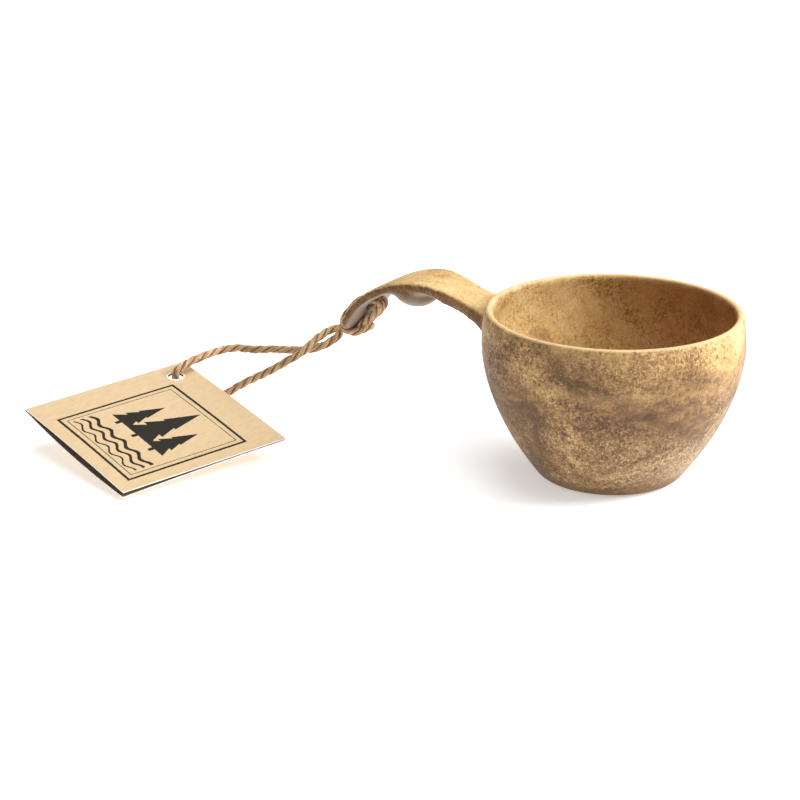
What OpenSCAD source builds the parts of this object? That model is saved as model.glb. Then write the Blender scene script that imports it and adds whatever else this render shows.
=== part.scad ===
// One-piece moulded drinking cup with a curved handle, its twisted cord and
// the folded card tag that hangs on the cord.
// Origin: centre of the flat foot. +Z up, the handle points along -X. Millimetres.

/* [Bowl] */
// Radius at the widest part of the bowl
belly_r = 47.5; // [44:0.5:52]
// Height of the widest part above the foot
belly_z = 50; // [46:1:52]
// Height of the rim above the foot
cup_h = 62; // [60:0.5:64]
// Radius of the flat foot
foot_r = 23.2; // [20:0.2:25]
// Thickness of the bowl's wall
wall_t = 3.2; // [2.8:0.1:3.6]
// Thickness of the bowl's floor
floor_t = 4.5; // [3.5:0.5:6]

/* [Handle] */
// Width of the handle at its waist
waist_w = 19; // [17:0.5:22]
// Width of the handle's paddle end
paddle_w = 25.5; // [23:0.5:28]
// Thickness of the handle beyond its root
handle_t = 4.2; // [3.6:0.1:5]
// Diameter of the lanyard hole
hole_d = 8; // [7:0.5:9]
// Depth of the finger knob under the handle
knob_h = 8.5; // [6:0.5:10]

/* [Cord] */
// Diameter of the twisted cord
cord_d = 3; // [2.6:0.1:3.2]

/* [Tag] */
// Side of the square tag when folded
tag_w = 70; // [60:1:72]
// Thickness of the card
card_t = 0.4; // [0.3:0.05:0.5]
// Diameter of the punched hole
punch_d = 6; // [5.5:0.25:7]
// Angle between the two leaves at rest
leaf_gap = 2.4; // [1.5:0.1:2.5]

/* [Hidden] */
$fn = 96;
eps = 0.01;

// --- helpers -----------------------------------------------------------------

// Catmull-Rom point at parameter u along a list of points
function part_of(u, n) = min(floor(u), n - 2);
function blend4(a, b, c, d, f) =
    0.5 * (2 * b + (c - a) * f + (2 * a - 5 * b + 4 * c - d) * f * f
           + (3 * b - a - 3 * c + d) * f * f * f);
function along(pts, u) =
    let (n = len(pts), i = part_of(u, n), f = u - i,
         a = i > 0 ? pts[i - 1] : 2 * pts[0] - pts[1],
         d = i < n - 2 ? pts[i + 2] : 2 * pts[n - 1] - pts[n - 2])
    blend4(a, pts[i], pts[i + 1], d, f);
function unit(v) = v / norm(v);
function heading(pts, u) =
    let (n = len(pts), h = 0.02, a = max(u - h, 0), b = min(u + h, n - 1))
    unit(along(pts, b) - along(pts, a));

// Side direction carried along a route, so that the tube does not twist
function carried(side, t) = unit(side - (side * t) * t);
function sides(ts, first, i = 0, acc = []) =
    i == len(ts) ? acc
    : let (s = carried(i == 0 ? first : acc[i - 1], ts[i])) sides(ts, first, i + 1, concat(acc, [s]));

// Closed tube with flat ends through rings of the same number of points
module skin(rings) {
    n = len(rings[0]);
    m = len(rings);
    walls = [for (i = [0 : m - 2]) for (k = [0 : n - 1])
        [i * n + k, (i + 1) * n + k, (i + 1) * n + (k + 1) % n, i * n + (k + 1) % n]];
    caps = [[for (k = [0 : n - 1]) k], [for (k = [n - 1 : -1 : 0]) (m - 1) * n + k]];
    polyhedron(points = [for (r = rings) for (p = r) p], faces = concat(walls, caps), convexity = 8);
}

// Round tube swept along a route, with a number of rings for each of its steps
module cord_tube(route, per_step, first_side) {
    m = (len(route) - 1) * per_step;
    us = [for (i = [0 : m]) i / per_step];
    ts = [for (u = us) heading(route, u)];
    ss = sides(ts, first_side);
    skin([for (i = [0 : m])
        let (c = along(route, us[i]), s = ss[i], b = cross(ts[i], s))
        [for (k = [0 : 7]) c - cord_d / 2 * (cos(45 * k) * s + sin(45 * k) * b)]]);
}

// --- bowl --------------------------------------------------------------------

// Outer radius of the bowl at height z, below and above the belly
curve_k = 19.5 / pow(47, 1.83);
function outer_r(z) =
    z < belly_z ? belly_r - curve_k * pow(belly_z - z, 1.83)
    : belly_r - 0.9 * pow((z - belly_z) / 10, 2);
lip_r = 1.5;
foot_edge_z = 2;
foot_edge_r = 5;
outline_steps = 22;
lip_z = cup_h - lip_r;
function wall_z(i) = foot_edge_z + (lip_z - foot_edge_z) * i / outline_steps;
bowl_outside = [for (i = [0 : outline_steps]) [outer_r(wall_z(i)), wall_z(i)]];
lip_x = outer_r(lip_z) - lip_r;
lip_arc = [for (a = [15 : 15 : 165]) [lip_x + lip_r * cos(a), lip_z + lip_r * sin(a)]];
inner_floor_z = floor_t + 5;
function inner_r(z) = outer_r(z) - wall_t;
function inner_z(i) = lip_z + (inner_floor_z - lip_z) * i / outline_steps;
bowl_inside = [for (i = [0 : outline_steps]) [inner_r(inner_z(i)), inner_z(i)]];
floor_corner_r = inner_r(inner_floor_z) - 8;
floor_arc = [for (a = [15 : 15 : 90])
    [floor_corner_r + 8 * cos(a), inner_floor_z - 5 * sin(a)]];
foot_arc = [for (a = [0 : 9 : 45])
    [foot_r + foot_edge_r * sin(a), foot_edge_r * (1 - cos(a))]];

module bowl() {
    rotate_extrude()
        polygon(concat([[0, 0]], foot_arc, bowl_outside, lip_arc, bowl_inside, floor_arc,
                       [[0, floor_t]]));
}

// --- handle ------------------------------------------------------------------

// Middle line of the handle's top: distance from the bowl's axis, and height
spine = [[44.8, 56], [55, 56.8], [66, 60.3], [76, 62], [87, 60.3], [97, 56.2],
         [105, 50], [110, 43.2], [114, 37.5]];
spine_end = len(spine) - 1;
// Width and thickness at each point of the spine
widths = [27, waist_w, waist_w + 1, paddle_w - 2, paddle_w - 0.5, paddle_w, paddle_w, paddle_w, paddle_w];
thicks = [11, handle_t + 0.8, handle_t + 0.4, handle_t + 0.4, handle_t, 3.6, 3.4, 3.4, 3.2];
tip_round_u = spine_end - 1.15;
function past_shoulder(u) = (u - tip_round_u) / (spine_end - tip_round_u);
function rounding(u) = u < tip_round_u ? 1 : sqrt(max(0, 1 - pow(past_shoulder(u), 2)));
function width_at(u) = max(along(widths, u) * rounding(u), 2.4);
function thick_at(u) = along(thicks, u);
function slope_at(u) = let (t = heading(spine, u)) atan2(-t[1], t[0]);
// Point of the handle: u along the spine, v across, h above the top face; past
// the end of the spine it goes straight on
past_end = 7;
function on_handle(u, v, h) =
    let (w = min(u, spine_end), a = slope_at(w),
         c = along(spine, w) + past_end * (u - w) * heading(spine, w))
    [-(c[0] + h * sin(a)), v, c[1] + h * cos(a)];

// Finger knob: how far the underside bulges at u and v, as a share of its depth
knob_u = 3.62;
knob_to_bowl = 0.8;
knob_to_tip = 1.25;
knob_half_w = 9.5;
function knob_along(u) = (u - knob_u) / (u < knob_u ? knob_to_bowl : knob_to_tip);
function knob_at(u, v) =
    let (q = pow(knob_along(u), 2) + pow(v / knob_half_w, 2))
    q < 1 ? pow(cos(90 * sqrt(q)), 1.1) : 0;

// One cross-section: crowned top, rounded edges and an underside with the knob
edge_r = 1.5;
crown = 0.5;
function edge_h(a, e, t) = a == 0 ? -t / 2 : a > 0 ? e * sin(a) - e : e - t + e * sin(a);
function section(u) =
    let (w = width_at(u) / 2, t = thick_at(u), e = min(edge_r, w * 0.6, t * 0.45),
         top = [for (k = [-3 : 3]) [k / 3 * (w - e), crown * (1 - k * k / 9) - crown]],
         right = [for (a = [60, 30, 0, -30, -60]) [w - e + e * cos(a), edge_h(a, e, t)]],
         low = [for (k = [6 : -1 : -6])
             [k / 6 * (w - e), -t - knob_h * knob_at(u, k / 6 * (w - e))]],
         left = [for (a = [-60, -30, 0, 30, 60]) [e - w - e * cos(a), edge_h(a, e, t)]])
    concat(top, right, low, left);
handle_us = concat([for (i = [0 : 27]) i / 4], [for (i = [1 : 9]) 7 + 0.94 * sin(10 * i)], [spine_end]);
module handle() {
    skin([for (u = handle_us) [for (q = section(u)) on_handle(u, q[0], q[1])]]);
}

// Lanyard hole, square to the paddle's top face
hole_u = 6.15;
module lanyard_hole() {
    translate(on_handle(hole_u, 0, 0))
        rotate([0, -slope_at(hole_u), 0])
            cylinder(h = 20, d = hole_d, center = true);
}

module cup_body() {
    color([0.72, 0.52, 0.27])
        difference() {
            union() {
                bowl();
                handle();
            }
            lanyard_hole();
        }
}

// --- cord --------------------------------------------------------------------

// Where the two legs turn below the end of the paddle
swing = [-117.5, 0, 33.7];
leg_gap = 2;

// Hitch round the end of the paddle, as [u, v, h] on the handle: along the
// underside, up through the hole, over the top, round the end and across
over = cord_d / 2 - 0.1;
under = -3.3 - cord_d / 2;
hitch_half = [[7.95, 1.8, under], [7.5, 1.7, under - 0.1], [7, 1.7, under - 0.8],
              [6.5, 1.8, under - 1.7], [6.05, 1.8, under - 1.9], [5.75, 1.7, under - 0.7],
              [5.85, 1.6, -3.5], [hole_u, 1.7, -1.2], [6.4, 2.5, over - 0.4], [6.85, 3.8, over],
              [7.4, 4.6, over], [7.9, 4.8, 1.1], [8.15, 4.8, -1.6], [8.1, 4.4, -4.4],
              [7.95, 3.6, -6.6], [7.65, 2, -7.9], [7.5, 0, -8.1]];
function leg_in(v) = [swing[0] + 1.9, v, swing[2] + 1.1];
hitch_near = [for (q = hitch_half) on_handle(q[0], -q[1], q[2])];
hitch_far = [for (i = [len(hitch_half) - 2 : -1 : 0])
    on_handle(hitch_half[i][0], hitch_half[i][1], hitch_half[i][2])];
hitch_route = concat([leg_in(-leg_gap)], hitch_near, hitch_far, [leg_in(leg_gap)]);

module cord_hitch() {
    color([0.62, 0.43, 0.28])
        cord_tube(hitch_route, 2, [0, 1, 0]);
}

// The two legs and the bend through the tag, from one side of the hitch to the other
loop_route = [
    [-117.5, 2, 33.7], [-119.5, -1, 34], [-121, -5, 33.7], [-121.5, -9.5, 33],
    [-121.8, -13.5, 32], [-122.3, -17.5, 30.5], [-124.2, -21, 28], [-128.5, -23.5, 24.8],
    [-136, -25.5, 19.8], [-144.5, -25.8, 14.8], [-151, -28, 10.5], [-155, -32, 7.6],
    [-159, -36.5, 6.3], [-163.5, -41, 7.2], [-166.2, -43.5, 10.5], [-166.9, -43.9, 14],
    [-166.7, -43.9, 17.2], [-166.2, -43, 20], [-165.2, -38.5, 21.6], [-164.2, -33, 22.2],
    [-163, -27.5, 22.7], [-160.5, -22.5, 23.4], [-155.5, -19.2, 24.2], [-146, -19.5, 25.4],
    [-139.5, -18.6, 26.4], [-132, -17.2, 27.2], [-125.5, -15.5, 27.9], [-121.5, -12, 28.6],
    [-119.3, -8, 29.8], [-117.9, -4.3, 31.6], [-117.5, -2, 33.7]];
module cord_loop() {
    color([0.66, 0.47, 0.31])
        cord_tube(loop_route, 2, [0, 0, 1]);
}

// Overhand knot that joins the cord's two ends, under the tag
knot_u = 12.3;
knot_r = 3.4;
module cord_knot() {
    color([0.6, 0.42, 0.27])
        translate(along(loop_route, knot_u))
            sphere(r = knot_r, $fn = 48);
}

// --- tag ---------------------------------------------------------------------

// The fold's near corner, and the tilt and turn of the front leaf
tag_corner = [-195, -98.5, 14.8];
tag_tilt = [3.5, 9.2, -19];
// The punched hole: distance from the fold, and along it
punch = [8.5, 61];
// Space between the leaves at the fold
fold_space = 0.3;

module leaf() {
    linear_extrude(card_t)
        difference() {
            square(tag_w);
            translate(punch)
                circle(d = punch_d, $fn = 48);
        }
}
module on_tag() {
    translate(tag_corner)
        rotate(tag_tilt)
            children();
}
module tag_front_leaf() {
    color([0.84, 0.72, 0.51])
        on_tag()
            leaf();
}
module tag_back_leaf() {
    color([0.32, 0.22, 0.15])
        on_tag()
            translate([0, 0, -fold_space / 2])
                rotate([0, leaf_gap, 0])
                    translate([0, 0, -fold_space / 2 - card_t])
                        leaf();
}

// -----------------------------------------------------------------------------

cup_body();
cord_hitch();
cord_loop();
cord_knot();
tag_front_leaf();
tag_back_leaf();
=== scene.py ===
from math import atan2, cos, pi, radians, sin, sqrt

import bmesh
import bpy
from mathutils import Euler, Matrix, Vector, noise
from mathutils.kdtree import KDTree


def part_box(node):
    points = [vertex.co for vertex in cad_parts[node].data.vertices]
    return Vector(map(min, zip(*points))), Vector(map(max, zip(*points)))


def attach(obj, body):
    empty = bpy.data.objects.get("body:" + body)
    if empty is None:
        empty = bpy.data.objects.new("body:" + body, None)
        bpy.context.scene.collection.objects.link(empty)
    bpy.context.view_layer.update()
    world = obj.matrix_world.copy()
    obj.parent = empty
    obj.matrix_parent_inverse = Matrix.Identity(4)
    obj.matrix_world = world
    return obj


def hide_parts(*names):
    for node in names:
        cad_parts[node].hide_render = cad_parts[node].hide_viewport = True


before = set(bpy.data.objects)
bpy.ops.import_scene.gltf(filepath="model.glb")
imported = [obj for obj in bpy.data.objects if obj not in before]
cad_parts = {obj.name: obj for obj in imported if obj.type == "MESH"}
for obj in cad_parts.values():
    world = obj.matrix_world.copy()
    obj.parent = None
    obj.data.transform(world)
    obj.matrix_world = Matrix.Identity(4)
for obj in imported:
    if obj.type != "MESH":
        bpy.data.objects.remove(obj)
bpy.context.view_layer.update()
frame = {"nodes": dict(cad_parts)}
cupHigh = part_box("cup_body")[1]
print("frame loaded:", ", ".join(frame["nodes"]))
mm = 0.001


# ---- small helpers

def leaveAll():
    if bpy.context.mode != "OBJECT":
        bpy.ops.object.mode_set(mode="OBJECT")
    bpy.ops.object.select_all(action="DESELECT")


def hold(piece):
    leaveAll()
    piece.select_set(True)
    bpy.context.view_layer.objects.active = piece


def editing(piece, how="FACE"):
    hold(piece)
    bpy.ops.object.mode_set(mode="EDIT")
    bpy.ops.mesh.select_mode(type=how)
    return bmesh.from_edit_mesh(piece.data)


def pick(bm, parts, test):
    bpy.ops.mesh.select_all(action="DESELECT")
    for part in parts:
        part.select_set(test(part))
    bm.select_flush_mode()


def named(piece, name):
    piece.name = piece.data.name = name
    return piece


def modify(piece, kind, **settings):
    added = piece.modifiers.new(kind.lower(), kind)
    for key, value in settings.items():
        setattr(added, key, value)
    hold(piece)
    bpy.ops.object.modifier_apply(modifier=added.name)


def settle(piece, place=None):
    # the piece's own place goes into its mesh, and its object back to the origin
    if place is not None:
        piece.matrix_world = place
    hold(piece)
    bpy.ops.object.transform_apply(location=True, rotation=True, scale=True)


def outward(piece):
    editing(piece)
    bpy.ops.mesh.select_all(action="SELECT")
    bpy.ops.mesh.remove_doubles(threshold=0.000005)
    bpy.ops.mesh.normals_make_consistent(inside=False)
    leaveAll()


def smoothShade(piece, angle=60):
    hold(piece)
    bpy.ops.object.shade_smooth_by_angle(angle=radians(angle))


def along(points, u):
    # Catmull-Rom through the points, u counts them from 0
    last = len(points) - 1
    i = min(int(u), last - 1)
    f = u - i
    b, c = points[i], points[i + 1]
    a = points[i - 1] if i > 0 else 2 * points[0] - points[1]
    d = points[i + 2] if i < last - 1 else 2 * points[last] - points[last - 1]
    return 0.5 * (2 * b + (c - a) * f + (2 * a - 5 * b + 4 * c - d) * f * f
                  + (3 * b - a - 3 * c + d) * f * f * f)


# ---- camera

cameraPlace = {"target": (-0.0643, -0.0418, 0.0275), "azimuth": 33, "elevation": 20.05,
               "distance": 0.799, "lens": 99}


def placeCamera(place):
    a, e = radians(place["azimuth"]), radians(place["elevation"])
    back = Vector((sin(a) * cos(e), -cos(a) * cos(e), sin(e)))
    data = bpy.data.cameras.new("camera")
    data.lens = place["lens"]
    data.sensor_width = 36
    data.clip_start = 0.01
    camera = bpy.data.objects.new("camera", data)
    bpy.context.collection.objects.link(camera)
    camera.location = Vector(place["target"]) + back * place["distance"]
    camera.rotation_euler = (-back).to_track_quat("-Z", "Y").to_euler()
    bpy.context.scene.camera = camera


placeCamera(cameraPlace)
print("camera placed")


# ---- the handle's line, which the cord's hitch also follows

handle = {
    # distance from the bowl's axis and height of the middle of the handle's top, in mm
    "spine": [(44.8, 56), (55, 56.8), (66, 60.3), (76, 62), (87, 60.3), (97, 56.2), (105, 50),
              (110, 43.2), (114, 37.5)],
    "widths": [27, 19, 20, 23.5, 25, 25.5, 25.5, 25.5, 25.5],
    "thicks": [11.4, 5.4, 5.2, 4.6, 4.2, 3.6, 3.4, 3.4, 3.2],
    "tipStart": 6.85, "section": (20, 4.6), "topRound": 1.3, "lowRound": 0.6, "crown": 0.2,
    "holeAt": 6.15, "holeRadius": 4, "pastEnd": 7,
    "knobAt": 3.58, "knobSize": (7.2, 12.0, 8.8), "knobTail": 1.5, "knobDrop": 3.4,
    "knobTop": 0.22,
}
spine = [Vector((-r, 0, z)) for r, z in handle["spine"]]
spineEnd = len(spine) - 1


def spinePoint(u):
    return along(spine, u)


def spineHeading(u):
    return (along(spine, min(u + 0.02, spineEnd)) - along(spine, max(u - 0.02, 0))).normalized()


def onHandle(u, v, h):
    # u along the spine, v across, h above the handle's top, all in mm
    on = min(u, spineEnd)
    t = spineHeading(on)
    up = Vector((t.z, 0, -t.x))
    return spinePoint(on) + t * handle["pastEnd"] * (u - on) + Vector((0, v, 0)) + up * h


# ---- the cord: its two legs, its hitch round the handle and its knot

cord = {
    "diameter": 3.0, "pitch": 15.5, "plies": 3, "plyOffset": 0.54, "plyRadius": 1.06,
    "perPly": 14, "step": 0.32, "fibre": 0.15, "wander": 0.15,
    "legs": [
        (-117.5, 2, 33.7), (-119.5, -1, 34), (-121, -5, 33.7), (-121.5, -9.5, 33),
        (-121.8, -13.5, 32), (-122.3, -17.5, 30.5), (-124.2, -21, 28), (-128.5, -23.5, 24.8),
        (-136, -25.5, 19.8), (-144.5, -25.8, 14.8), (-151, -28, 10.5), (-155, -32, 7.6),
        (-159, -36.5, 6.3), (-163.5, -41, 7.2), (-166.2, -43.5, 10.5), (-166.9, -43.9, 14),
        (-166.7, -43.9, 17.2), (-166.2, -43, 20), (-165.2, -38.5, 21.6), (-164.2, -33, 22.2),
        (-163, -27.5, 22.7), (-160.5, -22.5, 23.4), (-155.5, -19.2, 24.2), (-146, -19.5, 25.4),
        (-139.5, -18.6, 26.4), (-132, -17.2, 27.2), (-125.5, -15.5, 27.9), (-121.5, -12, 28.6),
        (-119.3, -8, 29.8), (-117.9, -4.3, 31.6), (-117.5, -2, 33.7)],
    "swing": (-117.5, 0, 33.7),
    "knotAt": 12.3, "knotRound": 2.3, "knotTube": 1.15,
}
over = cord["diameter"] / 2 - 0.1
under = -3.3 - cord["diameter"] / 2
hitchHalf = [
    (7.95, 1.8, under), (7.5, 1.7, under - 0.1), (7, 1.7, under - 0.8), (6.5, 1.8, under - 1.7),
    (6.05, 1.8, under - 1.9), (5.75, 1.7, under - 0.7), (5.85, 1.6, -3.5),
    (handle["holeAt"], 1.7, -1.2), (6.4, 2.5, over - 0.4), (6.85, 3.8, over), (7.4, 4.6, over),
    (7.9, 4.8, 1.1), (8.15, 4.8, -1.6), (8.05, 4.4, -4.1), (7.8, 3.6, -5.9), (7.45, 2, -7.1),
    (7.3, 0, -7.3)]


def evenly(points, step):
    # the smooth line through the points, as points a step apart
    fine = [along(points, i / 24) for i in range(24 * (len(points) - 1) + 1)]
    lengths = [0.0]
    for a, b in zip(fine, fine[1:]):
        lengths.append(lengths[-1] + (b - a).length)
    count = max(2, round(lengths[-1] / step))
    out, k = [], 0
    for i in range(count + 1):
        want = lengths[-1] * i / count
        while k < len(fine) - 2 and lengths[k + 1] < want:
            k += 1
        f = (want - lengths[k]) / max(lengths[k + 1] - lengths[k], 1e-9)
        out.append(fine[k].lerp(fine[k + 1], f))
    return out, lengths[-1]


def lobe(angle, offset, radius):
    # how far out one ply reaches in a direction measured from its own middle
    return offset * cos(angle) + sqrt(max(radius ** 2 - (offset * sin(angle)) ** 2, 0))


def twistCord(name, points, seed, shape=cord, size=1.0):
    # plies laid round each other along a line, as one skin; each face keeps its own ply's UV
    line, length = evenly(points, shape["step"])
    plies, per = shape["plies"], shape["perPly"]
    around = plies * per
    share = 2 * pi / plies
    side = (line[1] - line[0]).orthogonal().normalized()
    bm = bmesh.new()
    uvLayer = bm.loops.layers.uv.new("ply")
    rings, travel = [], 0.0
    for i, p in enumerate(line):
        ahead = (line[min(i + 1, len(line) - 1)] - line[max(i - 1, 0)]).normalized()
        side = (side - ahead * side.dot(ahead)).normalized()
        other = ahead.cross(side)
        if i:
            travel += (p - line[i - 1]).length
        turn = seed - 2 * pi * travel / shape["pitch"]
        ring = []
        for k in range(around):
            ply, spot = divmod(k, per)
            local = (spot / per - 0.5) * share
            swell = noise.noise(Vector((travel * 0.21, ply * 5.1, seed)))
            offset = shape["plyOffset"] * size * (1 + 0.10 * swell)
            radius = shape["plyRadius"] * size * (1 + shape["wander"] * swell)
            reach = lobe(local, offset, radius)
            fibres = noise.noise(Vector((local * 7 + ply * 9, travel * 0.55 - local * 1.6, seed)))
            reach += shape["fibre"] * fibres
            angle = turn + ply * share + local
            ring.append(bm.verts.new(p + (side * cos(angle) + other * sin(angle)) * reach))
        rings.append((ring, travel))
    for (low, start), (high, end) in zip(rings, rings[1:]):
        for k in range(around):
            ply, spot = divmod(k, per)
            nxt = (k + 1) % around
            face = bm.faces.new((low[k], low[nxt], high[nxt], high[k]))
            face.smooth = True
            uLow, uHigh = spot / per - 0.5, (spot + 1) / per - 0.5
            corners = ((uLow, start), (uHigh, start), (uHigh, end), (uLow, end))
            for loop, (u, v) in zip(face.loops, corners):
                loop[uvLayer].uv = (u, v / 20 + ply * 3.7)
    for ring, flip, back in ((rings[0][0], True, line[1]), (rings[-1][0], False, line[-2])):
        # rounded ends
        centre = sum((v.co for v in ring), Vector()) / around
        away = (centre - back).normalized()
        last = ring
        for grow, push in ((0.85, 0.6), (0.5, 1.1)):
            inner = [bm.verts.new(centre.lerp(v.co, grow) + away * push) for v in ring]
            for k in range(around):
                nxt = (k + 1) % around
                quad = (last[k], inner[k], inner[nxt], last[nxt])
                bm.faces.new(quad if not flip else quad[::-1])
            last = inner
        tip = bm.verts.new(centre + away * 1.3)
        for k in range(around):
            tri = (last[k], tip, last[(k + 1) % around])
            bm.faces.new(tri if not flip else tri[::-1])
    bmesh.ops.recalc_face_normals(bm, faces=bm.faces)
    bmesh.ops.scale(bm, vec=(mm, mm, mm), verts=bm.verts)
    mesh = bpy.data.meshes.new(name)
    bm.to_mesh(mesh)
    bm.free()
    piece = bpy.data.objects.new(name, mesh)
    bpy.context.collection.objects.link(piece)
    return piece, [tuple(p * mm) for p in line], length * mm


legPoints = [Vector(p) for p in cord["legs"]]
cordLegs, legLine, legLength = twistCord("cordLegs", legPoints, 0.4)
swingPoint = Vector(cord["swing"])
legIn = swingPoint + Vector((1.9, 0, 1.1))
hitchNear = [onHandle(u, -v, h) for u, v, h in hitchHalf]
hitchFar = [onHandle(u, v, h) for u, v, h in hitchHalf[-2::-1]]
legStart = [swingPoint + Vector((0, side, 0)) for side in (-2, 2)]
hitchPoints = [legStart[0], legIn + Vector((0, -2, 0)), *hitchNear, *hitchFar,
               legIn + Vector((0, 2, 0)), legStart[1]]
cordHitch, _, hitchLength = twistCord("cordHitch", hitchPoints, 2.1)


def knotPoints(centre):
    out = []
    for i in range(37):
        t = 2 * pi * i / 36
        w = cord["knotRound"] / 3 * (2 + cos(3 * t))
        rise = cord["knotTube"] * sin(3 * t)
        out.append(centre + Vector((w * cos(2 * t), w * sin(2 * t), rise)))
    return out


cordKnot, _, knotLength = twistCord(
    "cordKnot", knotPoints(along(legPoints, cord["knotAt"])), 1.3, size=0.85)
print(f"cord made: legs {legLength / mm:.1f} mm, hitch {hitchLength / mm:.1f} mm,"
      f" knot {knotLength / mm:.1f} mm")

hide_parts("cord_loop")
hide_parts("cord_hitch")
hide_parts("cord_knot")
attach(cordHitch, "cup")
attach(cordKnot, "lanyard")
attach(cordLegs, "lanyard")


# ---- the cup: bowl, handle and knob fused into one moulding

bowl = {"footRadius": 23.2, "footRound": 5, "bellyHeight": 50, "wall": 3.2, "floor": 4.5,
        "lip": 1.5, "pull": 19.5, "power": 1.83, "topPull": 0.9, "around": 144,
        "voxel": 0.79, "floorCorner": 8, "floorRise": 5, "rows": 26}
bellyRadius = cupHigh.y / mm
cupHeight = cupHigh.z / mm


def outerRadius(z):
    if z < bowl["bellyHeight"]:
        share = (bowl["bellyHeight"] - z) / 47
        return bellyRadius - bowl["pull"] * share ** bowl["power"]
    return bellyRadius - bowl["topPull"] * ((z - bowl["bellyHeight"]) / 10) ** 2


def bowlProfile():
    # up the outside, over the lip and down the inside, as (radius, height)
    lipZ, lipX = cupHeight - bowl["lip"], outerRadius(cupHeight - bowl["lip"]) - bowl["lip"]
    foot = [(bowl["footRadius"] + bowl["footRound"] * sin(radians(a)),
             bowl["footRound"] * (1 - cos(radians(a)))) for a in range(9, 46, 9)]
    rows, corner, rise = bowl["rows"], bowl["floorCorner"], bowl["floorRise"]
    heights = [2 + (lipZ - 2) * i / rows for i in range(rows + 1)]
    outside = [(outerRadius(z), z) for z in heights]
    lip = [(lipX + bowl["lip"] * cos(radians(a)), lipZ + bowl["lip"] * sin(radians(a)))
           for a in range(15, 166, 15)]
    bottom = bowl["floor"] + rise
    heights = [lipZ + (bottom - lipZ) * i / rows for i in range(rows + 1)]
    inside = [(outerRadius(z) - bowl["wall"], z) for z in heights]
    flat = inside[-1][0] - corner
    floor = [(flat + corner * cos(radians(a)), bottom - rise * sin(radians(a)))
             for a in range(15, 91, 15)]
    return foot + outside + lip + inside + floor + [(flat * 0.55, bowl["floor"])]


def makeBowl():
    bpy.ops.mesh.primitive_circle_add(vertices=bowl["around"], radius=bowl["footRadius"],
                                      fill_type="NGON")
    piece = named(bpy.context.object, "bowl")
    bm = editing(piece, "EDGE")
    pick(bm, bm.edges, lambda edge: True)
    bpy.ops.mesh.region_to_loop()
    at = (bowl["footRadius"], 0)
    for r, z in bowlProfile():
        bpy.ops.mesh.extrude_edges_move(TRANSFORM_OT_translate={"value": (0, 0, z - at[1])})
        k = r / at[0]
        bpy.ops.transform.resize(value=(k, k, 1), center_override=(0, 0, z))
        at = (r, z)
    bpy.ops.mesh.edge_face_add()
    leaveAll()
    outward(piece)
    return piece


def makeHandle():
    # a straight bar first, then bent along the spine
    sectionWidth, sectionThick = handle["section"]
    width, thick = handle["widths"][0], handle["thicks"][0]
    bpy.ops.mesh.primitive_cube_add(size=1, location=(-0.5, 0, -0.5))
    piece = named(bpy.context.object, "handleBar")
    settle(piece)
    editing(piece, "EDGE")
    bpy.ops.mesh.select_all(action="SELECT")
    bpy.ops.transform.resize(value=(1, sectionWidth, sectionThick), center_override=(0, 0, 0))
    for amount, level in ((handle["topRound"], 0), (handle["lowRound"], -sectionThick)):
        bm = editing(piece, "EDGE")
        pick(bm, bm.edges, lambda e: abs((e.verts[0].co - e.verts[1].co).x) > 0.5
             and abs(e.verts[0].co.z - level) < 0.01)
        bpy.ops.mesh.bevel(offset=amount, segments=5, profile=0.5)
    bpy.ops.mesh.select_all(action="SELECT")
    bpy.ops.mesh.bisect(plane_co=(0, 0, 0), plane_no=(0, 1, 0))
    bm = editing(piece, "VERT")
    pick(bm, bm.verts, lambda v: abs(v.co.y) > 0.1 and v.co.z > -handle["topRound"] - 0.1)
    bpy.ops.transform.translate(value=(0, 0, -handle["crown"]))
    bpy.ops.mesh.select_all(action="SELECT")
    bpy.ops.transform.resize(value=(1, width / sectionWidth, thick / sectionThick),
                             center_override=(0, 0, 0))
    bm = editing(piece, "FACE")
    pick(bm, bm.faces, lambda f: f.normal.x > 0.9)
    place, w, t = 0.0, width, thick
    widths, thicks = handle["widths"], handle["thicks"]
    stops = [i / 4 for i in range(1, 28)]
    stops += [7 + 0.985 * sin(radians(9 * i)) for i in range(1, 11)]
    tipStart = handle["tipStart"]
    lengths = spineLengths()
    for u in stops:
        x = lengths(u)
        past = max(0, (u - tipStart) / (spineEnd - tipStart))
        newW = max(along(widths, u) * sqrt(max(0, 1 - past * past)), 2.6)
        newT = along(thicks, u)
        bpy.ops.mesh.extrude_region_move(TRANSFORM_OT_translate={"value": (x - place, 0, 0)})
        bpy.ops.transform.resize(value=(1, newW / w, newT / t), center_override=(x, 0, 0))
        place, w, t = x, newW, newT
    leaveAll()
    outward(piece)
    bendAlong(piece)
    return piece


def spineLengths():
    fine = [spinePoint(i * spineEnd / 400) for i in range(401)]
    total = [0.0]
    for a, b in zip(fine, fine[1:]):
        total.append(total[-1] + (b - a).length)

    def at(u):
        k = min(u / spineEnd * 400, 399.999)
        return total[int(k)] + (total[int(k) + 1] - total[int(k)]) * (k - int(k))
    return at


def bendAlong(piece):
    data = bpy.data.curves.new("spineLine", "CURVE")
    data.dimensions = "3D"
    data.twist_mode = "Z_UP"
    line = data.splines.new("POLY")
    line.points.add(240)
    for i, point in enumerate(line.points):
        point.co = (*spinePoint(spineEnd * i / 240), 1)
    guide = bpy.data.objects.new("spineLine", data)
    bpy.context.collection.objects.link(guide)
    modify(piece, "CURVE", object=guide, deform_axis="POS_X")
    bpy.data.objects.remove(guide)


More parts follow.
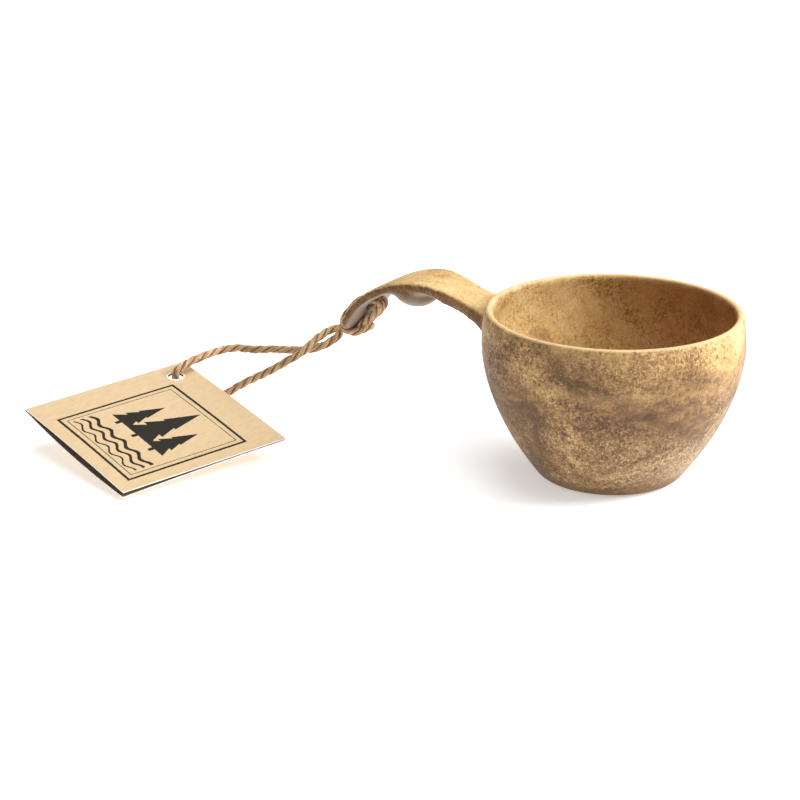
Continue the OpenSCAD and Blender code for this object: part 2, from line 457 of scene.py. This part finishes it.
def makeKnob():
    u = handle["knobAt"]
    across, wide, deep = handle["knobSize"]
    bpy.ops.mesh.primitive_uv_sphere_add(segments=48, ring_count=32, radius=1)
    piece = named(bpy.context.object, "fingerKnob")
    bm = editing(piece, "VERT")
    bpy.ops.mesh.select_all(action="SELECT")
    bpy.ops.transform.resize(value=(across, wide, deep), center_override=(0, 0, 0))
    pick(bm, bm.verts, lambda v: v.co.x < -0.01)
    bpy.ops.transform.resize(value=(handle["knobTail"], 1, 1), center_override=(0, 0, 0))
    pick(bm, bm.verts, lambda v: v.co.z > 0.01)
    bpy.ops.transform.resize(value=(1, 1, handle["knobTop"]), center_override=(0, 0, 0))
    leaveAll()
    t = spineHeading(u)
    slope = Matrix.Rotation(atan2(t.z, -t.x), 4, "Y")
    settle(piece, Matrix.Translation(onHandle(u, 0, -handle["knobDrop"])) @ slope)
    return piece


def makeCup():
    body = makeBowl()
    bar = makeHandle()
    knob = makeKnob()
    hole = handle["holeAt"]
    t = spineHeading(hole)
    bpy.ops.mesh.primitive_cylinder_add(vertices=48, radius=handle["holeRadius"], depth=20)
    drill = bpy.context.object
    slope = Matrix.Rotation(atan2(t.z, -t.x), 4, "Y")
    settle(drill, Matrix.Translation(onHandle(hole, 0, 0)) @ slope)
    modify(bar, "BOOLEAN", object=drill, operation="DIFFERENCE", solver="EXACT")
    bpy.data.objects.remove(drill)
    hold(body)
    bar.select_set(True)
    knob.select_set(True)
    bpy.ops.object.join()
    cup = named(bpy.context.object, "cupMoulding")
    cup.data.remesh_voxel_size = bowl["voxel"]
    modify(cup, "REMESH", mode="VOXEL", voxel_size=bowl["voxel"], adaptivity=0)
    softenJoins(cup)
    modify(cup, "SMOOTH", factor=0.5, iterations=2)
    cup.matrix_world = Matrix.Scale(mm, 4)
    settle(cup)
    outward(cup)
    for face in cup.data.polygons:
        face.use_smooth = True
    markSides(cup)
    return cup


def fade(value, low, high):
    share = min(1.0, max(0.0, (value - low) / (high - low)))
    return share * share * (3 - 2 * share)


def markSides(cup):
    # which side of the moulding each point is on, for the colours
    steps = 320
    line = KDTree(steps + 1)
    for i in range(steps + 1):
        line.insert(spinePoint(spineEnd * i / steps), i)
    line.balance()
    names = ("outside", "shadedFlank", "under", "lip")
    marks = {name: [0.0] * len(cup.data.vertices) for name in names}
    for v in cup.data.vertices:
        p, n = v.co / mm, v.normal
        r = sqrt(p.x ** 2 + p.y ** 2)
        off = r - outerRadius(max(p.z, 0))
        onBar = fade(off, 0.4, 3.0) if p.x < 0 and p.z > 30 else 0.0
        skin = off + bowl["wall"] / 2
        outer = max(fade(skin, -0.4, 0.4), fade(-p.z, -2.8, -1.8))
        marks["outside"][v.index] = outer * (1 - onBar)
        marks["lip"][v.index] = fade(p.z, cupHeight - 0.9, cupHeight - 0.25) * (1 - onBar)
        if onBar:
            at = line.find(Vector((p.x, 0, p.z)))[1] * spineEnd / steps
            t = spineHeading(at)
            lift = n.x * t.z - n.z * t.x
            # painted shade: the handle's sides, turned away from the light, are marked for
            # darkening
            marks["shadedFlank"][v.index] = onBar * fade(-lift, -0.80, -0.25)
            away = abs(at - handle["knobAt"] - 0.1)
            sharp = fade(away, 1.0, 1.35)
            marks["under"][v.index] = (onBar * fade(at, 0.8, 2.4)
                                       * fade(-lift, 0.30 + 0.25 * sharp, 0.8))
    for name in names:
        layer = cup.data.attributes.new(name, "FLOAT", "POINT")
        layer.data.foreach_set("value", marks[name])


def softenJoins(cup):
    # a fillet where the handle grows out of the bowl, and round the knob's foot; sizes in mm
    root = cup.vertex_groups.new(name="root")
    foot = cup.vertex_groups.new(name="knobFoot")
    knobMiddle = onHandle(handle["knobAt"], 0, -6)
    low = onHandle(handle["knobAt"], 0, -3.2).z
    for v in cup.data.vertices:
        p = v.co
        r = sqrt(p.x ** 2 + p.y ** 2)
        off = r - outerRadius(p.z) if p.z > 0 else -9
        if p.x < -30 and abs(p.y) < 22 and p.z > 38 and off > -0.9:
            reach = max(0.0, 1 - max(off, 0) / 8) * min(1, (22 - abs(p.y)) / 6)
            reach *= min(1, max(0, (p.z - 38) / 6)) * min(1, max(0, (60.4 - p.z) / 2.5))
            if reach > 0:
                root.add([v.index], reach, "REPLACE")
        far = (p - knobMiddle).length
        if far < 18 and p.x < -60 and p.z < low:
            foot.add([v.index], min(1, (18 - far) / 5), "REPLACE")
    modify(cup, "SMOOTH", factor=0.5, iterations=95, vertex_group="root")
    modify(cup, "SMOOTH", factor=0.5, iterations=52, vertex_group="knobFoot")


cup = makeCup()
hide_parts("cup_body")
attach(cup, "cup")
print("cup made:", len(cup.data.polygons), "faces")


# ---- the folded card tag

tag = {
    "corner": (-195, -98.5, 14.8), "tilt": (3.5, 9.2, -19), "side": 70, "card": 0.4,
    "punch": (8.5, 61), "punchRadius": 3, "opening": 2.4, "foldSpace": 0.3,
    "bow": 0.5, "sag": (7.8, -6.5), "closing": 2.2, "cells": 56, "burr": 0.35,
}
tagPlace = (Matrix.Translation(Vector(tag["corner"]) * mm)
            @ Euler([radians(a) for a in tag["tilt"]]).to_matrix().to_4x4() @ Matrix.Scale(mm, 4))
backPlace = (tagPlace @ Matrix.Translation((0, 0, -tag["foldSpace"] / 2))
             @ Matrix.Rotation(radians(tag["opening"]), 4, "Y")
             @ Matrix.Translation((0, 0, -tag["foldSpace"] / 2 - tag["card"])))


def makeLeaf(name, curl, burr, place):
    side, card = tag["side"], tag["card"]
    bpy.ops.mesh.primitive_grid_add(x_subdivisions=tag["cells"], y_subdivisions=tag["cells"],
                                    size=side, location=(side / 2, side / 2, 0), calc_uvs=True)
    leaf = named(bpy.context.object, name)
    settle(leaf)
    modify(leaf, "SOLIDIFY", thickness=card, offset=1)
    px, py = tag["punch"]
    bpy.ops.mesh.primitive_cylinder_add(vertices=40, radius=tag["punchRadius"], depth=4,
                                        location=(px, py, 0))
    punch = bpy.context.object
    bm = editing(punch, "VERT")
    for v in bm.verts:
        # a worn punch doesn't cut a true circle
        away = Vector((v.co.x, v.co.y, 0))
        v.co += away * 0.07 * noise.noise(away * 0.9 + Vector((3, 0, burr)))
    bmesh.update_edit_mesh(punch.data)
    leaveAll()
    modify(leaf, "BOOLEAN", object=punch, operation="DIFFERENCE", solver="EXACT")
    bpy.data.objects.remove(punch)
    for v in leaf.data.vertices:
        x, y = min(max(v.co.x / side, 0), 1), min(max(v.co.y / side, 0), 1)
        v.co.z += curl(x, y)
        away = sqrt((v.co.x - px) ** 2 + (v.co.y - py) ** 2) - tag["punchRadius"]
        if away < 0.6:
            ragged = noise.noise(Vector((v.co.x * 1.3, v.co.y * 1.3, burr))) + 0.4
            v.co.z += burr * ragged * (1 - max(away, 0) / 0.6)
    settle(leaf, place)
    smoothShade(leaf, 35)
    return leaf


def frontCurl(x, y):
    return tag["bow"] * sin(pi * x) * (0.8 + 0.2 * cos(pi * (y - 0.3)))


def backCurl(x, y):
    # the under leaf bellies away from the upper one and meets it again at the far corner
    flat = tag["side"] * sin(radians(tag["opening"])) * x
    steep, back = tag["sag"]
    return flat - (steep * x + back * x * x) * (1 - y) ** tag["closing"]


frontLeaf = makeLeaf("tagFrontLeaf", frontCurl, tag["burr"], tagPlace)
backLeaf = makeLeaf("tagBackLeaf", backCurl, 0.1, backPlace)


def makeFold():
    # the creased strip that joins the two leaves
    side, card, space = tag["side"], tag["card"], tag["foldSpace"]
    bpy.ops.mesh.primitive_cylinder_add(vertices=32, radius=card + space / 2, depth=side)
    strip = named(bpy.context.object, "tagFold")
    bm = editing(strip, "FACE")
    pick(bm, bm.faces, lambda f: len(f.verts) > 8)
    bpy.ops.mesh.inset(thickness=card, depth=0)
    bpy.ops.mesh.bridge_edge_loops()
    bpy.ops.mesh.select_all(action="SELECT")
    bpy.ops.mesh.bisect(plane_co=(0.06, 0, 0), plane_no=(1, 0, 0), clear_outer=True, use_fill=True)
    leaveAll()
    middle = Matrix.Translation((0, side / 2, -space / 2)) @ Matrix.Rotation(pi / 2, 4, "X")
    settle(strip, tagPlace @ middle)
    outward(strip)
    smoothShade(strip, 40)
    return strip


tagFold = makeFold()
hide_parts("tag_front_leaf")
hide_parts("tag_back_leaf")
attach(frontLeaf, "tag_cover")
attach(backLeaf, "tag")
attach(tagFold, "tag")
print("tag made")


# ---- materials

def newMaterial(name, **sockets):
    material = bpy.data.materials.new(name)
    material.use_nodes = True
    tree = material.node_tree
    shader = tree.nodes["Principled BSDF"]
    for key, value in sockets.items():
        shader.inputs[key.replace("_", " ")].default_value = value
    return material, tree, shader


def node(tree, kind, inputs=None, **settings):
    made = tree.nodes.new("ShaderNode" + kind)
    for key, value in settings.items():
        setattr(made, key, value)
    for key, value in (inputs or {}).items():
        if isinstance(value, bpy.types.NodeSocket):
            tree.links.new(value, made.inputs[key])
        else:
            made.inputs[key].default_value = value
    return made


def math(tree, operation, a, b=0.5, c=0.5, clamp=False):
    made = node(tree, "Math", {0: a, 1: b, 2: c}, operation=operation, use_clamp=clamp)
    return made.outputs[0]


def ramp(tree, fac, stops, mode="LINEAR"):
    made = node(tree, "ValToRGB", {"Fac": fac})
    points = made.color_ramp.elements
    made.color_ramp.interpolation = mode
    while len(points) < len(stops):
        points.new(0.5)
    for point, (place, colour) in zip(points, stops):
        point.position = place
        point.color = (*colour, 1) if len(colour) == 3 else colour
    return made.outputs["Color"]


def grey(value):
    return (value, value, value)


def mix(tree, fac, a, b, blend="MIX"):
    made = node(tree, "Mix", data_type="RGBA", blend_type=blend, clamp_factor=True)
    for socket, value in ((made.inputs[0], fac), (made.inputs[6], a), (made.inputs[7], b)):
        if isinstance(value, bpy.types.NodeSocket):
            tree.links.new(value, socket)
        elif isinstance(value, tuple):
            socket.default_value = (*value, 1)
        else:
            socket.default_value = value
    return made.outputs[2]


def noiseOf(tree, vector, scale, detail=4, rough=0.55, distortion=0.0):
    made = node(tree, "TexNoise", {"Vector": vector, "Scale": scale, "Detail": detail,
                                   "Roughness": rough, "Distortion": distortion})
    return made.outputs["Fac"]


cupLook = {
    "dark": (0.075, 0.036, 0.014), "brown": (0.170, 0.088, 0.034), "tan": (0.335, 0.193, 0.078),
    "gold": (0.53, 0.335, 0.125), "pale": (0.66, 0.49, 0.26), "ash": (0.245, 0.172, 0.112),
    "grit": (0.47, 0.375, 0.265), "insideShade": (0.62, 0.47, 0.43), "flankShadow": (0.125, 0.058, 0.022),
    "beige": (0.30, 0.235, 0.17), "lipTone": (0.74, 0.54, 0.27),
}


def mark(tree, name):
    return node(tree, "Attribute", attribute_name=name).outputs["Fac"]


def cupMaterial(look):
    material, tree, shader = newMaterial("woodFibreMoulding", Roughness=0.5,
                                         Specular_IOR_Level=0.28)
    place = node(tree, "TexCoord").outputs["Object"]
    split = node(tree, "SeparateXYZ", {0: place})
    height = math(tree, "DIVIDE", split.outputs["Z"], cupHeight * mm)
    outside, shadedFlank, under, lip = [mark(tree, n) for n in ("outside", "shadedFlank", "under", "lip")]
    # flow of the moulding: wide swirls that stretch round the bowl
    bend = node(tree, "TexNoise", {"Vector": place, "Scale": 14, "Detail": 2})
    shove = node(tree, "VectorMath", {0: bend.outputs["Color"], 1: (-0.5, -0.5, -0.5)},
                 operation="ADD")
    warped = node(tree, "VectorMath", {0: shove.outputs[0], 1: (0.05, 0.05, 0.05), 2: place},
                  operation="MULTIPLY_ADD").outputs[0]
    squat = node(tree, "Mapping", {"Vector": warped, "Scale": (1, 1, 1.5)}).outputs[0]
    clouds = noiseOf(tree, squat, 30, 6, 0.62, 0.4)
    swirls = noiseOf(tree, squat, 58, 5, 0.6, 2.0)
    tone = math(tree, "MULTIPLY_ADD", swirls, 0.32, math(tree, "MULTIPLY", clouds, 0.73))
    # golden at the rim, browner below it; the outside is painted darker than the inside, partly
    # its own tone and partly painted shade; the handle's sides get painted shade
    outsideToneAndShade = ramp(tree, height, [(0.0, grey(0.37)), (0.12, grey(0.38)), (0.5, grey(0.335)),
                                  (0.78, grey(0.37)), (0.97, grey(0.49))])
    lift = mix(tree, outside, grey(0.60), outsideToneAndShade)
    # painted light: the outside of the bowl is painted lighter towards the key light's side
    towardKeyX = math(tree, "MULTIPLY", split.outputs["X"], 1.5)
    across = math(tree, "MULTIPLY_ADD", split.outputs["Y"], 1.0, towardKeyX)
    paintedKeyLight = math(tree, "MULTIPLY", math(tree, "MAXIMUM", across, -0.004), 1.4)
    paintedKeyLight = math(tree, "MULTIPLY", paintedKeyLight, outside)
    lift = math(tree, "ADD", lift, paintedKeyLight)
    # painted shade: the tone is lowered on the handle's sides
    shadedLift = math(tree, "SUBTRACT", lift, math(tree, "MULTIPLY", shadedFlank, 0.26))
    tone = math(tree, "ADD", tone, math(tree, "SUBTRACT", shadedLift, 0.5))
    # ground fibres, as short crooked flecks of two sizes
    grain = noiseOf(tree, place, 760, 3, 0.7, 0.8)
    flakes = noiseOf(tree, place, 1500, 2, 0.6, 1.2)
    rough = ramp(tree, noiseOf(tree, squat, 24, 3, 0.5, 0.6), [(0.38, grey(0.3)), (0.6, grey(1))])
    strength = math(tree, "MULTIPLY", rough, mix(tree, outside, grey(0.85), grey(0.95)))
    speckle = math(tree, "SUBTRACT", math(tree, "MULTIPLY_ADD", flakes, 0.6, grain), 0.8)
    tone = math(tree, "MULTIPLY_ADD", speckle, strength, tone)
    base = ramp(tree, tone, [(0.24, look["dark"]), (0.36, look["brown"]), (0.48, look["tan"]),
                             (0.60, look["gold"]), (0.78, look["pale"])])
    # greyer low on the bowl
    low = ramp(tree, height, [(0.10, grey(0.75)), (0.35, grey(0.55)), (0.62, grey(0.0))])
    side = ramp(tree, across, [(0.0, grey(0.35)), (0.045, grey(1.0))])
    ashHere = math(tree, "MULTIPLY", math(tree, "MULTIPLY", low, outside), rough)
    ashHere = math(tree, "MULTIPLY", ashHere, side)
    ashes = ramp(tree, tone, [(0.30, look["brown"]), (0.50, look["ash"]), (0.62, look["grit"])])
    base = mix(tree, ashHere, base, ashes)
    # painted shade: a dark purple tint down the shaded side of the inside
    farX = math(tree, "MULTIPLY", split.outputs["X"], 10)
    far = math(tree, "MULTIPLY_ADD", split.outputs["Y"], 14, farX)
    shadeBlotch = math(tree, "MULTIPLY_ADD", clouds, 0.7, far)
    paintedInsideShade = ramp(tree, shadeBlotch, [(0.55, grey(0)), (1.05, grey(1.0))])
    inner = math(tree, "MULTIPLY", paintedInsideShade, math(tree, "SUBTRACT", 1.0, outside))
    inner = math(tree, "MULTIPLY", inner, math(tree, "SUBTRACT", 1.0, lip))
    base = mix(tree, inner, base, look["insideShade"], "MULTIPLY")
    # painted shade: dark brown painted over the handle's sides
    base = mix(tree, math(tree, "MULTIPLY", shadedFlank, 0.5), base, look["flankShadow"])
    base = mix(tree, math(tree, "MULTIPLY", under, 0.9), base, look["beige"])
    base = mix(tree, math(tree, "MULTIPLY", lip, 0.6), base, look["lipTone"])
    # painted shade: the outside darkens to brown just above the floor
    foot = ramp(tree, height, [(0.0, grey(0.8)), (0.05, grey(0.6)), (0.1, grey(0.0))])
    base = mix(tree, math(tree, "MULTIPLY", foot, outside), base, look["brown"])
    specks = ramp(tree, noiseOf(tree, place, 420, 1, 0.5), [(0.22, grey(1)), (0.27, grey(0))])
    base = mix(tree, math(tree, "MULTIPLY", specks, 0.5), base, look["dark"])
    tree.links.new(base, shader.inputs["Base Color"])
    gloss = math(tree, "MULTIPLY_ADD", grain, 0.25, 0.42)
    tree.links.new(gloss, shader.inputs["Roughness"])
    bumps = node(tree, "Bump", {"Strength": 0.25, "Distance": 0.0002,
                                "Height": math(tree, "ADD", grain, flakes)})
    tree.links.new(bumps.outputs[0], shader.inputs["Normal"])
    return material


cordLook = {"deep": (0.11, 0.060, 0.030), "brown": (0.33, 0.195, 0.105),
            "tan": (0.60, 0.385, 0.215), "straw": (0.86, 0.66, 0.43)}


def cordMaterial(look):
    material, tree, shader = newMaterial("twistedJute", Roughness=0.85,
                                         Specular_IOR_Level=0.2)
    uv = node(tree, "UVMap", uv_map="ply").outputs[0]
    split = node(tree, "SeparateXYZ", {0: uv})
    # fibres lie almost along each ply
    lean = math(tree, "MULTIPLY_ADD", split.outputs["X"], -0.055, split.outputs["Y"])
    spread = node(tree, "CombineXYZ", {0: split.outputs["X"], 1: lean, 2: 0.0}).outputs[0]
    strands = node(tree, "Mapping", {"Vector": spread, "Scale": (11, 20, 1)}).outputs[0]
    fibres = noiseOf(tree, strands, 1.0, 4, 0.7)
    threads = node(tree, "Mapping", {"Vector": spread, "Scale": (38, 46, 1)}).outputs[0]
    fine = noiseOf(tree, threads, 1.0, 3, 0.65)
    lengths = noiseOf(tree, spread, 2.2, 2)
    tone = math(tree, "MULTIPLY_ADD", fibres, 0.75, math(tree, "MULTIPLY", fine, 0.55))
    tone = math(tree, "MULTIPLY_ADD", lengths, 0.5, math(tree, "SUBTRACT", tone, 0.39))
    # painted shade: the valleys between the plies are darkened, unevenly along the cord
    crest = math(tree, "MULTIPLY", math(tree, "ABSOLUTE", split.outputs["X"]), 2)
    valleyShade = ramp(tree, crest, [(0.55, grey(0)), (1.0, grey(0.26))])
    shadeBreakup = noiseOf(tree, spread, 9.0, 2)
    valleyShadeDip = math(tree, "MULTIPLY", valleyShade, math(tree, "MULTIPLY", shadeBreakup, 2.0))
    tone = math(tree, "SUBTRACT", tone, valleyShadeDip)
    colour = ramp(tree, tone, [(0.22, look["deep"]), (0.38, look["brown"]), (0.52, look["tan"]),
                               (0.68, look["straw"])])
    tree.links.new(colour, shader.inputs["Base Color"])
    bumps = node(tree, "Bump", {"Strength": 0.7, "Distance": 0.00025,
                                "Height": math(tree, "ADD", fibres, fine)})
    tree.links.new(bumps.outputs[0], shader.inputs["Normal"])
    return material


def paperGroup():
    # short pressed fibres: a mask for the colour and a height for the bump
    tree = bpy.data.node_groups.new("paperFibre", "ShaderNodeTree")
    tree.interface.new_socket("Vector", in_out="INPUT", socket_type="NodeSocketVector")
    tree.interface.new_socket("Scale", in_out="INPUT", socket_type="NodeSocketFloat")
    tree.interface.new_socket("Fibres", in_out="OUTPUT", socket_type="NodeSocketFloat")
    tree.interface.new_socket("Height", in_out="OUTPUT", socket_type="NodeSocketFloat")
    given = tree.nodes.new("NodeGroupInput")
    out = tree.nodes.new("NodeGroupOutput")
    cross = node(tree, "Mapping", {"Vector": given.outputs["Vector"], "Scale": (1, 0.22, 1),
                                   "Rotation": (0, 0, 0.5)}).outputs[0]
    scale = given.outputs["Scale"]
    fibres = noiseOf(tree, cross, scale, 3, 0.6)
    tree.links.new(fibres, out.inputs["Fibres"])
    pulp = noiseOf(tree, given.outputs["Vector"], scale, 4, 0.7)
    tree.links.new(math(tree, "MULTIPLY_ADD", pulp, 0.5, fibres), out.inputs["Height"])
    return tree


paperFibre = paperGroup()


def cardMaterial(name, dark, light, roughness, scale=900):
    material, tree, shader = newMaterial(name, Roughness=roughness, Specular_IOR_Level=0.25)
    place = node(tree, "TexCoord").outputs["Object"]
    paper = node(tree, "Group", {}, node_tree=paperFibre)
    tree.links.new(place, paper.inputs["Vector"])
    paper.inputs["Scale"].default_value = scale
    colour = ramp(tree, paper.outputs["Fibres"], [(0.3, dark), (0.7, light)])
    tree.links.new(colour, shader.inputs["Base Color"])
    bumps = node(tree, "Bump", {"Strength": 0.15, "Distance": 0.0001,
                                "Height": paper.outputs["Height"]})
    tree.links.new(bumps.outputs[0], shader.inputs["Normal"])
    return material, tree, shader, colour


printLook = {
    "ink": (0.014, 0.011, 0.006), "rough": 0.45,
    "frame": (39, 31, 25, 1.1),          # middle u, v, half side and line width
    "innerFrame": (39, 31, 22.6, 0.35),
    "trees": [(39, 22.5, 26, 8.5), (27.5, 22.5, 18, 6.2), (50.5, 22.5, 18, 6.2)],
    "tiers": 3, "trunk": 0.9, "trunkHalf": 1.4, "waves": [(17.5, 0.75), (14, 0.6), (10.6, 0.4)],
    "waveLength": 9.5, "waveHeight": 0.9,
}


def printMask(tree, look):
    # a plain emblem in the card's own UV: a frame, three firs and water lines
    uv = node(tree, "UVMap", uv_map="UVMap").outputs[0]
    big = node(tree, "VectorMath", {0: uv, 3: tag["side"]}, operation="SCALE").outputs[0]
    wobble = node(tree, "TexNoise", {"Vector": big, "Scale": 1.6, "Detail": 3}).outputs["Color"]
    shift = node(tree, "VectorMath", {0: wobble, 1: (-0.5, -0.5, -0.5)}, operation="ADD")
    rough = node(tree, "VectorMath", {0: shift.outputs[0], 1: (look["rough"],) * 3, 2: big},
                 operation="MULTIPLY_ADD").outputs[0]
    split = node(tree, "SeparateXYZ", {0: rough})
    u, v = split.outputs["X"], split.outputs["Y"]

    def inside(distance, soft=0.12):
        return math(tree, "MULTIPLY_ADD", distance, -1 / soft, 0.5, clamp=True)

    def both(a, b):
        return math(tree, "MAXIMUM", a, b)

    mask = None
    for cu, cv, half, line in (look["frame"], look["innerFrame"]):
        du = math(tree, "ABSOLUTE", math(tree, "SUBTRACT", u, cu))
        dv = math(tree, "ABSOLUTE", math(tree, "SUBTRACT", v, cv))
        edge = math(tree, "SUBTRACT", math(tree, "MAXIMUM", du, dv), half)
        ring = inside(math(tree, "SUBTRACT", math(tree, "ABSOLUTE", edge), line / 2))
        mask = ring if mask is None else both(mask, ring)
    for cu, foot, tall, wide in look["trees"]:
        du = math(tree, "ABSOLUTE", math(tree, "SUBTRACT", u, cu))
        tierTall = tall / (look["tiers"] * 0.62)
        for i in range(look["tiers"]):
            low = foot + 2.2 + i * tall * 0.27
            reach = wide * (1 - i * 0.24)
            above = math(tree, "SUBTRACT", v, low)
            slope = math(tree, "MULTIPLY_ADD", above, reach / tierTall, -reach)
            sides = math(tree, "ADD", du, slope)
            below = math(tree, "SUBTRACT", low, v)
            mask = both(mask, inside(math(tree, "MAXIMUM", sides, below)))
        stem = math(tree, "SUBTRACT", du, look["trunk"])
        fromMiddle = math(tree, "ABSOLUTE", math(tree, "SUBTRACT", v, foot + look["trunkHalf"]))
        span = math(tree, "SUBTRACT", fromMiddle, look["trunkHalf"])
        mask = both(mask, inside(math(tree, "MAXIMUM", stem, span)))
    acrossFrame = math(tree, "ABSOLUTE", math(tree, "SUBTRACT", u, look["frame"][0]))
    for level, line in look["waves"]:
        ripple = math(tree, "SINE", math(tree, "MULTIPLY", u, 2 * pi / look["waveLength"]))
        crest = math(tree, "MULTIPLY_ADD", ripple, look["waveHeight"], level)
        gap = math(tree, "ABSOLUTE", math(tree, "SUBTRACT", v, crest))
        wave = math(tree, "SUBTRACT", gap, line)
        ends = math(tree, "SUBTRACT", acrossFrame, look["frame"][2] - 4)
        mask = both(mask, inside(both(wave, ends)))
    px, py = tag["punch"]
    centre = node(tree, "VectorMath", {0: big, 1: (px, py, 0)},
                  operation="DISTANCE").outputs["Value"]
    torn = node(tree, "TexNoise", {"Vector": big, "Scale": 0.9, "Detail": 4}).outputs["Fac"]
    ragged = math(tree, "MULTIPLY_ADD", torn, -2.2, centre)
    torn = inside(math(tree, "SUBTRACT", ragged, tag["punchRadius"] - 0.65), 0.25)
    return mask, torn


kraft, kraftTree, kraftShader, kraftColour = cardMaterial(
    "printedKraft", (0.56, 0.405, 0.235), (0.63, 0.465, 0.275), 0.7)
inkMask, tornMask = printMask(kraftTree, printLook)
inked = mix(kraftTree, inkMask, kraftColour, printLook["ink"])
kraftTree.links.new(mix(kraftTree, tornMask, inked, (0.92, 0.90, 0.87)),
                    kraftShader.inputs["Base Color"])
insideCard = cardMaterial("darkInside", (0.22, 0.155, 0.10), (0.30, 0.215, 0.14), 0.75)[0]
plainKraft = cardMaterial("plainKraft", (0.56, 0.41, 0.225), (0.70, 0.54, 0.33), 0.75)[0]
cutEdge = cardMaterial("cutEdge", (0.80, 0.78, 0.74), (0.93, 0.92, 0.90), 0.9)[0]


def dressLeaf(leaf, topSide, bottomSide):
    leaf.data.materials.clear()
    for material in (topSide, bottomSide, cutEdge):
        leaf.data.materials.append(material)
    up = tagPlace.to_3x3().col[2].normalized()
    for face in leaf.data.polygons:
        facing = face.normal.dot(up)
        face.material_index = 0 if facing > 0.55 else 1 if facing < -0.55 else 2


dressLeaf(frontLeaf, kraft, insideCard)
dressLeaf(backLeaf, insideCard, plainKraft)
tagFold.data.materials.append(plainKraft)
cup.data.materials.clear()
cup.data.materials.append(cupMaterial(cupLook))
juteMaterial = cordMaterial(cordLook)
for piece in (cordLegs, cordHitch, cordKnot):
    piece.data.materials.append(juteMaterial)
print("materials made")


# ---- studio

studio = {
    "floor": 6.0, "floorTone": 0.94, "floorGlow": 0.42, "skyStrength": 0.36,
    # place, size and power of each soft light, all aimed at the cup
    "lights": [("overhead", (0.15, 0.25, 1.25), 1.5, 18.0),
               ("key", (0.80, 0.42, 0.62), 0.5, 13.0)],
}


def makeStudio():
    bpy.ops.mesh.primitive_plane_add(size=studio["floor"])
    floor = named(bpy.context.object, "floor")
    paint, tree, shader = newMaterial("paleFloor", Roughness=0.9)
    shader.inputs["Base Color"].default_value = (*grey(studio["floorTone"]), 1)
    shader.inputs["Emission Color"].default_value = (1, 1, 1, 1)
    shader.inputs["Emission Strength"].default_value = studio["floorGlow"]
    floor.data.materials.append(paint)
    world = bpy.data.worlds.new("studioWorld")
    bpy.context.scene.world = world
    world.use_nodes = True
    sky = world.node_tree.nodes["Background"]
    sky.inputs["Color"].default_value = (1, 1, 1, 1)
    sky.inputs["Strength"].default_value = studio["skyStrength"]
    for name, place, size, power in studio["lights"]:
        data = bpy.data.lights.new(name, "AREA")
        data.shape = "DISK"
        data.size = size
        data.energy = power
        lamp = bpy.data.objects.new(name, data)
        bpy.context.collection.objects.link(lamp)
        lamp.location = place
        aim = Vector((0, 0, 0.03)) - lamp.location
        lamp.rotation_euler = aim.to_track_quat("-Z", "Y").to_euler()
    bpy.context.scene.view_settings.view_transform = "Standard"


leaveAll()
makeStudio()
print("studio lit")
